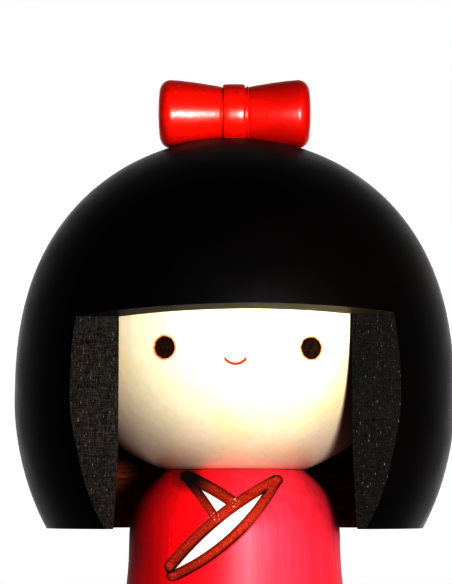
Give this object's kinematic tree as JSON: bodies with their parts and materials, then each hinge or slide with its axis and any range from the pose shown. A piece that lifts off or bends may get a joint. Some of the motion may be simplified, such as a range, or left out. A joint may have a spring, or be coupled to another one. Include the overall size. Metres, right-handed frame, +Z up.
{
  "type": "kokeshi doll",
  "caption": "Turned wooden kokeshi doll with a round black bob of hair, a white face, a red spool bow and a red kimono torso; the head turns on a neck dowel.",
  "frame": {"origin": "centre of the flat base, where the doll stands", "axes": "+Z up along the turning axis, the face looks along -Y, +X to the right of someone facing the doll"},
  "size_m": [0.08, 0.079, 0.1255],
  "materials": {
    "dyed_torso_wood": "red dye under a thin satin wax, carved collar lines left darker",
    "natural_wood": "bare",
    "face_wood": "pale wood, smooth and waxed, with burnt eyes and a painted smile",
    "black_hair_wood": "black, satin where turned and matt where sawn",
    "red_lacquered_wood": "glossy red lacquer"
  },
  "bodies": {
    "torso": {"torso": "dyed_torso_wood"},
    "head": {"neck_dowel": "natural_wood", "face_block": "face_wood", "hair_cap": "black_hair_wood", "bow_peg": "natural_wood", "bow": "red_lacquered_wood"}
  },
  "joints": [
    {"name": "head_turn", "type": "hinge", "parent": "torso", "child": "head", "pos_m": [0, 0, 0.0532], "axis": [0, 0, 1], "continuous": true}
  ]
}
